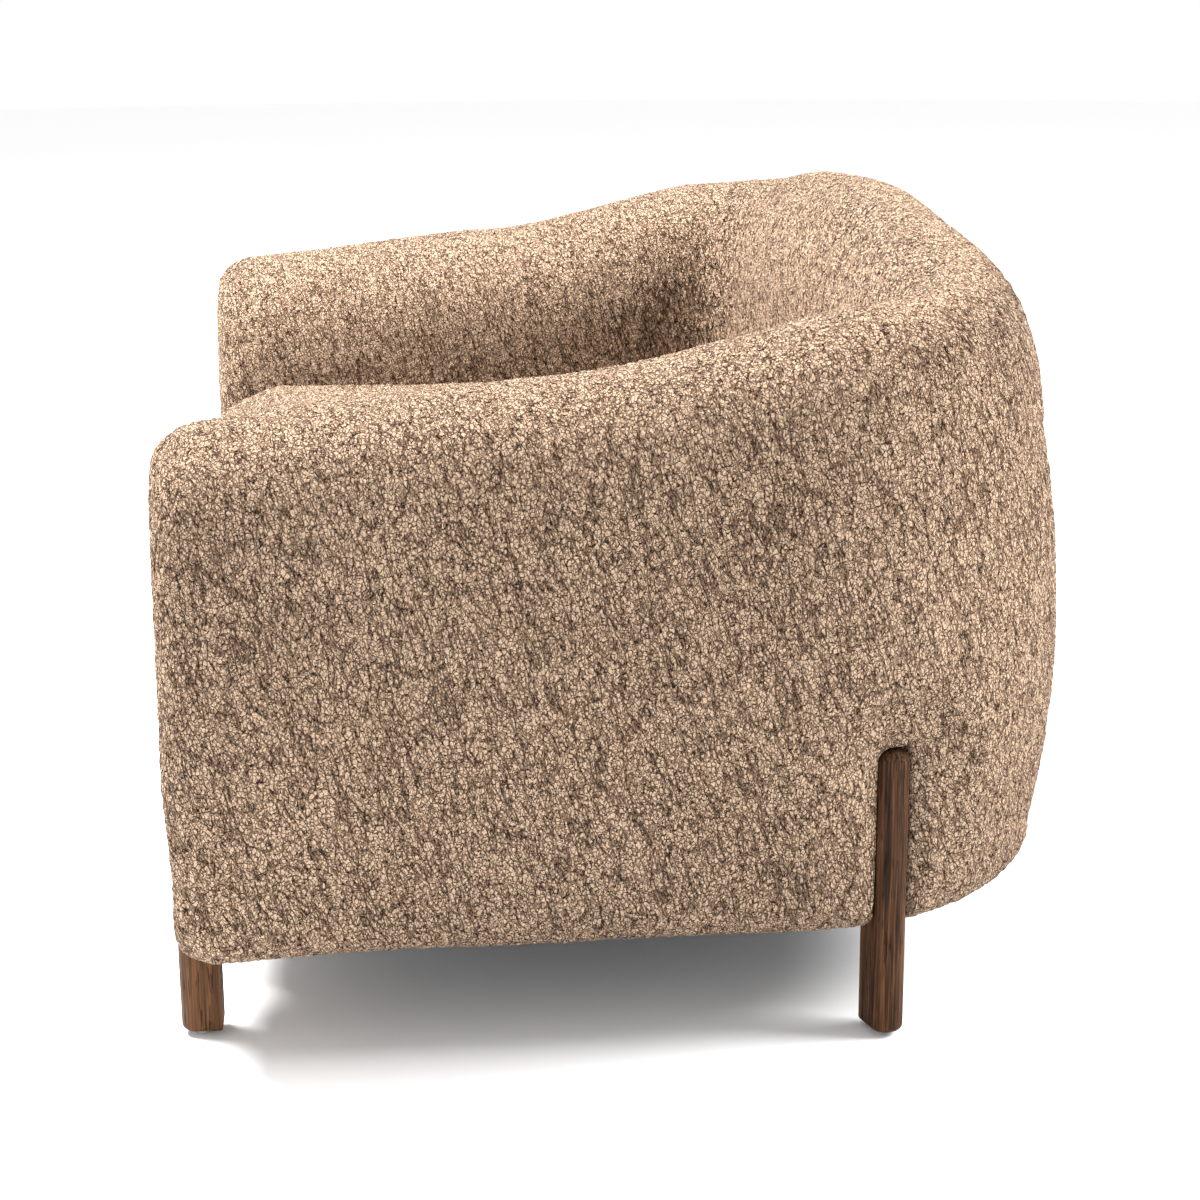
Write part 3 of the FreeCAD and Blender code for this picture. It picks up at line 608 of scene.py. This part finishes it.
def woven_material(name, colour, pitch, depth):
    """Plain weave: two sets of threads, one over the other."""
    made = Finish(name)
    warp = made.node("TexWave", {"bands_direction": "X"}, {"Vector": made.place(), "Scale": 0.05 / pitch,
                                                           "Distortion": 1.2, "Detail": 1.0})
    weft = made.node("TexWave", {"bands_direction": "Y"}, {"Vector": made.place(), "Scale": 0.05 / pitch,
                                                           "Distortion": 1.2, "Detail": 1.0})
    weave = warp * 0.5 + weft * 0.5
    drift = made.mottle(12.0, 3.0)
    # Painted shade: the low places between the threads are darkened to 0.45 of the colour.
    tone = made.mix(weave.between(0.15, 0.75), tuple(0.45 * part for part in colour), colour)
    tone = made.mix(drift.between(0.35, 0.75) * 0.4, tone, tuple(0.75 * part for part in colour))
    return made.shade(tone, 0.85, weave, depth, 0.6, Sheen_Weight=0.1)


def plastic_material(name, colour):
    """Moulded plastic with a fine grain."""
    made = Finish(name)
    grain = made.mottle(900.0, 2.0)
    scuffs = made.mottle(60.0, 4.0)
    tone = made.mix(scuffs.between(0.5, 0.8) * 0.5, colour, tuple(0.7 * part for part in colour))
    return made.shade(tone, 0.4 + scuffs * 0.25, grain, 0.0002, 0.3)


def floor_material():
    """Pale seamless studio floor with a very faint unevenness."""
    made = Finish("pale_floor")
    drift = made.mottle(1.5, 3.0)
    tone = made.mix(drift, (0.955, 0.955, 0.955), (0.975, 0.975, 0.975))
    return made.shade(tone, 0.45, drift, 0.0005, 0.05, Specular_IOR_Level=0.3)


def wear(piece, material):
    """Gives a new piece its material."""
    piece.data.materials.clear()
    piece.data.materials.append(material)


def refinish(nodes, material):
    """Gives frame pieces a better material."""
    for name in nodes:
        for slot in frame["nodes"][name].material_slots:
            slot.material = material


# ---------------------------------------------------------------- settings
class SofaFabric(bpy.types.PropertyGroup):
    """Pile fabric on the tub, the border and the cushion."""

    nub: bpy.props.FloatProperty(name="Nub", description="Width of one curled nub", default=0.0037,
                                 subtype="DISTANCE", unit="LENGTH")
    tuft: bpy.props.FloatProperty(name="Tuft", description="Width of a tuft of nubs", default=0.0080,
                                  subtype="DISTANCE", unit="LENGTH")
    relief: bpy.props.FloatProperty(name="Relief", description="Depth between the tufts", default=0.0026,
                                    subtype="DISTANCE", unit="LENGTH")
    unevenness: bpy.props.FloatProperty(name="Unevenness", description="Soft waves of the padding",
                                        default=0.0022, subtype="DISTANCE", unit="LENGTH")
    pitch: bpy.props.FloatProperty(name="Pitch", description="Spacing of the fabric's mesh", default=0.0034,
                                   subtype="DISTANCE", unit="LENGTH")
    puff: bpy.props.FloatProperty(name="Puff", description="Swell of the fabric beside the legs",
                                  default=0.0045, subtype="DISTANCE", unit="LENGTH")
    sag: bpy.props.FloatProperty(name="Sag", description="Droop of the hem at the arm fronts", default=0.008,
                                 subtype="DISTANCE", unit="LENGTH")
    lean: bpy.props.FloatProperty(name="Lean", description="Lean of the furrows from upright", default=0.29,
                                  subtype="ANGLE")
    colour: bpy.props.FloatVectorProperty(name="Colour", description="Tan of the pile", subtype="COLOR",
                                          default=(0.375, 0.240, 0.157))
    colour_warm: bpy.props.FloatVectorProperty(name="Warm colour", description="Warmer drift of the pile",
                                               subtype="COLOR", default=(0.340, 0.212, 0.135))
    # Deep colour of the pile: painted shade in the gaps between the nubs and in the furrows.
    colour_deep: bpy.props.FloatVectorProperty(name="Deep colour", description="Gaps between the nubs",
                                               subtype="COLOR", default=(0.018, 0.008, 0.004))
    # Tip colour of the pile: painted highlight on the highest loop tips.
    colour_tip_highlight: bpy.props.FloatVectorProperty(name="Tip colour", description="Tips of the loops",
                                              subtype="COLOR", default=(0.80, 0.610, 0.440))


class SofaPads(bpy.types.PropertyGroup):
    """Filling of the loose cushion and the border."""

    pressure: bpy.props.FloatProperty(name="Pressure", description="Filling pressure of the cloth",
                                      default=4.0)
    frames: bpy.props.IntProperty(name="Frames", description="Steps of the filling", default=20)
    voxel: bpy.props.FloatProperty(name="Voxel", description="Evenness of the pad's mesh", default=0.006,
                                   subtype="DISTANCE", unit="LENGTH")
    crown: bpy.props.FloatProperty(name="Crown", description="Furthest swell of the cushion's top",
                                   default=0.024, subtype="DISTANCE", unit="LENGTH")


class SofaWood(bpy.types.PropertyGroup):
    """Stain of the legs."""

    colour: bpy.props.FloatVectorProperty(name="Colour", description="Stained oak", subtype="COLOR",
                                          default=(0.060, 0.026, 0.0115))
    colour_deep: bpy.props.FloatVectorProperty(name="Deep colour", description="Late wood", subtype="COLOR",
                                               default=(0.011, 0.0055, 0.0032))
    colour_worn: bpy.props.FloatVectorProperty(name="Worn colour", description="Rubbed fibres",
                                               subtype="COLOR", default=(0.170, 0.078, 0.034))


class SofaStudio(bpy.types.PropertyGroup):
    """Light and camera."""

    key: bpy.props.FloatProperty(name="Key", description="Soft light from above the front", default=560.0,
                                 unit="POWER")
    rim: bpy.props.FloatProperty(name="Rim", description="Soft light from behind", default=280.0,
                                 unit="POWER")
    fill: bpy.props.FloatProperty(name="Fill", description="Weak light beside the camera", default=10.0,
                                  unit="POWER")
    sky: bpy.props.FloatProperty(name="Sky", description="Brightness of the white surround", default=1.0)
    lens: bpy.props.FloatProperty(name="Lens", description="Focal length in millimetres", default=72.2)


# ---------------------------------------------------------------- pieces
class SOFA_OT_tub_upholstery(bpy.types.Operator):
    """Upholstered tub: both arms, the rear corners and the back in one skin, with grooves for the legs"""

    bl_idname = "sofa.tub_upholstery"
    bl_label = "Tub upholstery"

    def execute(self, context):
        fabric = context.scene.sofa_fabric
        station, shrink, forward = wall_columns(fabric.pitch)
        grid = wall_sections(station, shrink, fabric.pitch)
        grid[:, :, 1] -= forward[:, None]
        columns, rows = grid.shape[:2]
        droop = fabric.sag * smooth(1.0 - near_end(station) / DROOP_REACH)[:, None]
        grid[:, :, 2] -= droop * smooth(1.0 - (grid[:, :, 2] - UNDERSIDE) / DROOP_HEIGHT)
        places, hidden = fit_round_legs(grid.reshape(-1, 3), fabric.puff)
        faces = ring_faces(columns, rows)
        faces.append(list(range(rows)))
        faces.append(list(range(columns * rows - 1, (columns - 1) * rows - 1, -1)))
        piece = mesh_piece("tub_upholstery", places, faces)
        apply_modifier(piece, "TRIANGULATE", min_vertices=5)
        facing_out(piece)
        pile_relief(piece, fabric, 1.0 - hidden)
        wear(piece, pile_of(fabric))
        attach(piece, "sofa")
        parts = [side + "_" + part + layer for side in SIDES for part in ("arm_", "corner_")
                 for layer in ("cover", "padding")]
        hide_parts("back_cover", "back_padding", *parts)
        return {"FINISHED"}


def seat_outline(gap, count=220):
    """Line inside the walls from the left front to the right front."""
    station = np.linspace(SEAT_START, WHOLE - SEAT_START, count)
    point, way = outline(station)
    return point + way * (wall_thickness(station) + gap)[:, None]


def ringed_pad(name, plan, front, levels):
    """Closed pad from rings over a plan; each level has a height and how far its sides and front draw in."""
    half = np.abs(plan[:, 0]).max()
    far = plan[:, 1].max()
    corners = np.array([[half, front]]), np.array([[-half, front]])
    sides = np.linspace(0.0, 1.0, 30)[1:, None]
    left = corners[0] * (1.0 - sides) + plan[:1] * sides
    right = plan[-1:] * (1.0 - sides) + corners[1] * sides
    line = np.concatenate([corners[0], left, plan[1:], right,
                           np.linspace([-half, front], [half, front], 60)[1:-1]])
    rings = []
    for height, side, nose in levels:
        across = (half - side) / half
        along = (far - side - front - nose) / (far - front)
        x = line[:, 0] * across
        y = front + nose + (line[:, 1] - front) * along
        rings.append(np.stack([x, y, np.full(len(line), height)], axis=1))
    count = len(line)
    faces = ring_faces(len(rings), count)
    faces.append(list(range(count - 1, -1, -1)))
    faces.append(list(range((len(rings) - 1) * count, len(rings) * count)))
    piece = mesh_piece(name, np.concatenate(rings), faces)
    facing_out(piece)
    return piece


class SOFA_OT_seat_cushion(bpy.types.Operator):
    """Loose seat cushion with a rounded nose, filled by cloth pressure"""

    bl_idname = "sofa.seat_cushion"
    bl_label = "Seat cushion"

    def execute(self, context):
        fabric = context.scene.sofa_fabric
        pads = context.scene.sofa_pads
        base = SEAT_LOW.z
        crown = SEAT_HIGH.z - base - pads.crown
        levels = ((0.0015, 0.016, 0.030), (0.008, 0.006, 0.019), (0.024, 0.002, 0.011), (0.055, 0.0, 0.004),
                  (0.088, 0.0, 0.002), (0.115, 0.0, 0.005), (crown - 0.030, 0.001, 0.014),
                  (crown - 0.018, 0.005, 0.026), (crown - 0.007, 0.016, 0.044), (crown, 0.036, 0.074))
        levels = [(base + height, side, nose) for height, side, nose in levels]
        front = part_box("cushion_cover_top")[0].y + 0.012
        piece = ringed_pad("seat_cushion_pad", seat_outline(CUSHION_GAP), front, levels)

        def give(places, normals):
            up = smooth(normals[:, 2] / 0.6)
            nose = smooth(-normals[:, 1] / 0.6) * smooth((-0.36 - places[:, 1]) / 0.04)
            return 0.0008 + pads.crown * np.maximum(up, 0.45 * nose)

        fill_pad(piece, pads, give)
        pile_relief(piece, fabric)
        wear(piece, pile_of(fabric))
        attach(piece, "seat_cushion")
        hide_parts("cushion_cover_top", "cushion_cover_bottom", "cushion_wadding_top",
                    "cushion_wadding_bottom", "cushion_foam")
        return {"FINISHED"}


class SOFA_OT_front_border(bpy.types.Operator):
    """Padded border under the cushion, between the arm fronts"""

    bl_idname = "sofa.front_border"
    bl_label = "Front border"

    def execute(self, context):
        fabric = context.scene.sofa_fabric
        pads = context.scene.sofa_pads
        size = BORDER_HIGH - BORDER_LOW
        centre = (BORDER_HIGH + BORDER_LOW) / 2.0
        bpy.ops.object.select_all(action="DESELECT")
        bpy.ops.mesh.primitive_cube_add(size=1.0, location=centre)
        piece = context.active_object
        piece.name = "front_border_pad"
        piece.scale = (size.x - BORDER_EASE, size.y - BORDER_EASE, size.z - BORDER_EASE)
        bpy.ops.object.transform_apply(location=True, rotation=False, scale=True)
        apply_modifier(piece, "BEVEL", width=0.0125, segments=4)

        def give(places, normals):
            return 0.0006 + 0.007 * smooth(-normals[:, 1] / 0.6)

        fill_pad(piece, pads, give)
        pile_relief(piece, fabric)
        wear(piece, pile_of(fabric))
        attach(piece, "sofa")
        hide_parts("front_border_cover", "front_border_padding")
        return {"FINISHED"}


class SOFA_OT_seat_deck(bpy.types.Operator):
    """Foam deck under the cushion in a plain woven cloth"""

    bl_idname = "sofa.seat_deck"
    bl_label = "Seat deck"

    def execute(self, context):
        low = DECK_LOW.z
        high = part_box("deck_cloth")[1].z
        levels = ((low, 0.006, 0.006), (low + 0.008, 0.001, 0.001), (high - 0.010, 0.001, 0.001),
                  (high - 0.004, 0.004, 0.004), (high - 0.0015, 0.010, 0.010), (high - 0.0008, 0.020, 0.020))
        piece = ringed_pad("seat_deck_pad", seat_outline(DECK_GAP), DECK_LOW.y, levels)
        wear(piece, woven_material("deck_weave", (0.30, 0.225, 0.16), 0.0011, 0.0004))
        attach(piece, "sofa")
        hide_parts("deck_cloth", "deck_foam")
        return {"FINISHED"}


class SOFA_OT_dust_cover(bpy.types.Operator):
    """Black cloth stapled under the frame, sagging a little between its staples"""

    bl_idname = "sofa.dust_cover"
    bl_label = "Dust cover"

    def execute(self, context):
        station = np.linspace(0.0, WHOLE, 160)
        point, way = outline(station)
        line = point + way * DUST_INSET
        line = line[line[:, 1] > DUST_LOW.y]
        half = HALF_WIDTH - DUST_INSET
        line = np.concatenate([[[half, DUST_LOW.y]], line, [[-half, DUST_LOW.y]]])
        rings = 14
        centre = np.array([0.0, (DUST_LOW.y + DUST_HIGH.y) / 2.0])
        vertices = []
        for ring in range(rings):
            share = ring / rings
            flat = line * (1.0 - share) + centre * share
            sag = 0.0035 * smooth(share / 0.4)
            droop = 0.0012 * np.sin(np.arange(len(line)) * 1.7) * smooth(share * 6.0) * (1.0 - share)
            vertices.append(np.column_stack([flat, DUST_HIGH.z - 0.0004 - sag - np.abs(droop)]))
        count = len(line)
        faces = ring_faces(rings, count)
        faces.append(list(range((rings - 1) * count, rings * count)))
        piece = mesh_piece("dust_cover_cloth", np.concatenate(vertices), faces)
        facing_out(piece)
        apply_modifier(piece, "SOLIDIFY", thickness=0.0006, offset=0.0)
        wear(piece, woven_material("dust_cloth_black", (0.020, 0.020, 0.022), 0.0009, 0.0002))
        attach(piece, "sofa")
        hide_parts("dust_cover")
        return {"FINISHED"}


class SOFA_OT_woodwork(bpy.types.Operator):
    """Stain on the legs and bare wood and ply on the frame"""

    bl_idname = "sofa.woodwork"
    bl_label = "Woodwork finishes"

    def execute(self, context):
        legs = [side + "_" + end + "_leg" for side in SIDES for end in ("front", "rear")]
        refinish(legs, leg_material(context.scene.sofa_wood))
        slots = {item["node"]: item["material_slot"] for item in frame["record"]["subparts"]}
        upright = [name for name in slots if slots[name] == "frame_wood" and "post" in name]
        boards = [name for name in slots if slots[name] == "frame_wood" and name not in upright]
        panels = [name for name in slots if slots[name] == "panel_ply"]
        pale, dark = (0.60, 0.44, 0.28), (0.42, 0.28, 0.16)
        refinish(upright, frame_wood_material("frame_beech_upright", pale, dark, (1.0, 1.0, 0.05), 160.0))
        refinish(boards, frame_wood_material("frame_beech_boards", pale, dark, (0.07, 0.07, 1.0), 160.0))
        refinish(panels, frame_wood_material("panel_birch_ply", (0.66, 0.53, 0.36), (0.50, 0.37, 0.23),
                                             (0.05, 0.05, 0.9), 120.0))
        return {"FINISHED"}


class SOFA_OT_fixings(bpy.types.Operator):
    """Finishes of the springs, bolts, staples, glides, webbing and zip"""

    bl_idname = "sofa.fixings"
    bl_label = "Fixings finishes"

    def execute(self, context):
        refinish(["seat_springs", "spring_clips"],
                 steel_material("oiled_spring_steel", (0.30, 0.30, 0.31), 0.35))
        refinish(["leg_bolts", "bolt_washers", "leg_inserts", "dust_cover_staples"],
                 steel_material("zinc_plated_steel", (0.62, 0.61, 0.58), 0.28))
        refinish(["glides"], plastic_material("glide_nylon", (0.34, 0.33, 0.31)))
        refinish(["back_webbing"], woven_material("elastic_webbing", (0.55, 0.48, 0.36), 0.0018, 0.0006))
        refinish(["cushion_zip"], woven_material("zip_tape_weave", (0.22, 0.15, 0.10), 0.0008, 0.0003))
        refinish(["zip_slider"], steel_material("zip_slider_metal", (0.42, 0.34, 0.24), 0.35))
        return {"FINISHED"}


class SOFA_OT_studio(bpy.types.Operator):
    """Pale floor, soft lights and the camera"""

    bl_idname = "sofa.studio"
    bl_label = "Studio"

    def execute(self, context):
        scene = context.scene
        studio = scene.sofa_studio
        bpy.ops.object.select_all(action="DESELECT")
        bpy.ops.mesh.primitive_circle_add(vertices=96, radius=FLOOR_RADIUS, fill_type="NGON",
                                          location=(0.0, 0.0, 0.0))
        floor = context.active_object
        floor.name = "studio_floor"
        wear(floor, floor_material())
        self.soft_light("key_light", (-0.6, -1.5, 3.3), (0.0, 0.1, 0.45), LIGHT_SIZE, studio.key)
        self.soft_light("rim_light", (0.7, 3.3, 2.6), (0.0, 0.1, 0.45), LIGHT_SIZE, studio.rim)
        self.soft_light("camera_fill", (4.2, -0.4, 1.6), (0.0, 0.0, 0.4), FILL_SIZE, studio.fill)
        world = bpy.data.worlds.new("white_surround")
        world.use_nodes = True
        background = world.node_tree.nodes["Background"]
        background.inputs["Color"].default_value = (1.0, 1.0, 1.0, 1.0)
        background.inputs["Strength"].default_value = studio.sky
        scene.world = world
        scene.view_settings.view_transform = "Standard"
        self.camera(scene, studio.lens)
        return {"FINISHED"}

    def soft_light(self, name, place, target, size, power):
        lamp = bpy.data.lights.new(name, "AREA")
        lamp.shape = "DISK"
        lamp.size = size
        lamp.energy = power
        light = bpy.data.objects.new(name, lamp)
        bpy.context.scene.collection.objects.link(light)
        way = Vector(target) - Vector(place)
        light.matrix_world = Matrix.Translation(place) @ way.to_track_quat("-Z", "Y").to_matrix().to_4x4()

    def camera(self, scene, lens):
        down, turn, roll = CAMERA_DOWN, CAMERA_TURN, CAMERA_ROLL
        ahead = Vector((-math.cos(down) * math.cos(turn), math.cos(down) * math.sin(turn), -math.sin(down)))
        level = Vector((math.sin(turn), math.cos(turn), 0.0))
        upright = level.cross(ahead)
        right = level * math.cos(roll) + upright * math.sin(roll)
        above = upright * math.cos(roll) - level * math.sin(roll)
        view = Matrix((right, above, -ahead)).transposed().to_4x4()
        view.translation = CAMERA_PLACE
        eye = bpy.data.cameras.new("studio_camera")
        eye.lens = lens
        eye.sensor_width = SENSOR_WIDTH
        camera = bpy.data.objects.new("studio_camera", eye)
        scene.collection.objects.link(camera)
        camera.matrix_world = view
        scene.camera = camera


class SOFA_PT_panel(bpy.types.Panel):
    """Lists the sofa's pieces and settings"""

    bl_idname = "SOFA_PT_panel"
    bl_label = "Tub sofa"
    bl_space_type = "VIEW_3D"
    bl_region_type = "UI"
    bl_category = "Sofa"

    def draw(self, context):
        for group in GROUPS:
            settings = getattr(context.scene, group)
            box = self.layout.box()
            for name in settings.__annotations__:
                box.prop(settings, name)
        for piece in PIECES:
            self.layout.operator(piece.bl_idname)


GROUPS = {"sofa_fabric": SofaFabric, "sofa_pads": SofaPads, "sofa_wood": SofaWood, "sofa_studio": SofaStudio}
PIECES = (SOFA_OT_studio, SOFA_OT_tub_upholstery, SOFA_OT_seat_cushion, SOFA_OT_front_border,
          SOFA_OT_seat_deck, SOFA_OT_dust_cover, SOFA_OT_woodwork, SOFA_OT_fixings)


def register():
    for item in (*GROUPS.values(), *PIECES, SOFA_PT_panel):
        bpy.utils.register_class(item)
    for name, group in GROUPS.items():
        setattr(bpy.types.Scene, name, bpy.props.PointerProperty(type=group))


def unregister():
    for name in GROUPS:
        delattr(bpy.types.Scene, name)
    for item in (SOFA_PT_panel, *PIECES[::-1], *list(GROUPS.values())[::-1]):
        bpy.utils.unregister_class(item)


def main():
    register()
    bpy.ops.sofa.studio()
    bpy.ops.sofa.tub_upholstery()
    bpy.ops.sofa.seat_cushion()
    bpy.ops.sofa.front_border()
    bpy.ops.sofa.seat_deck()
    bpy.ops.sofa.dust_cover()
    bpy.ops.sofa.woodwork()
    bpy.ops.sofa.fixings()


if __name__ == "__main__":
    main()
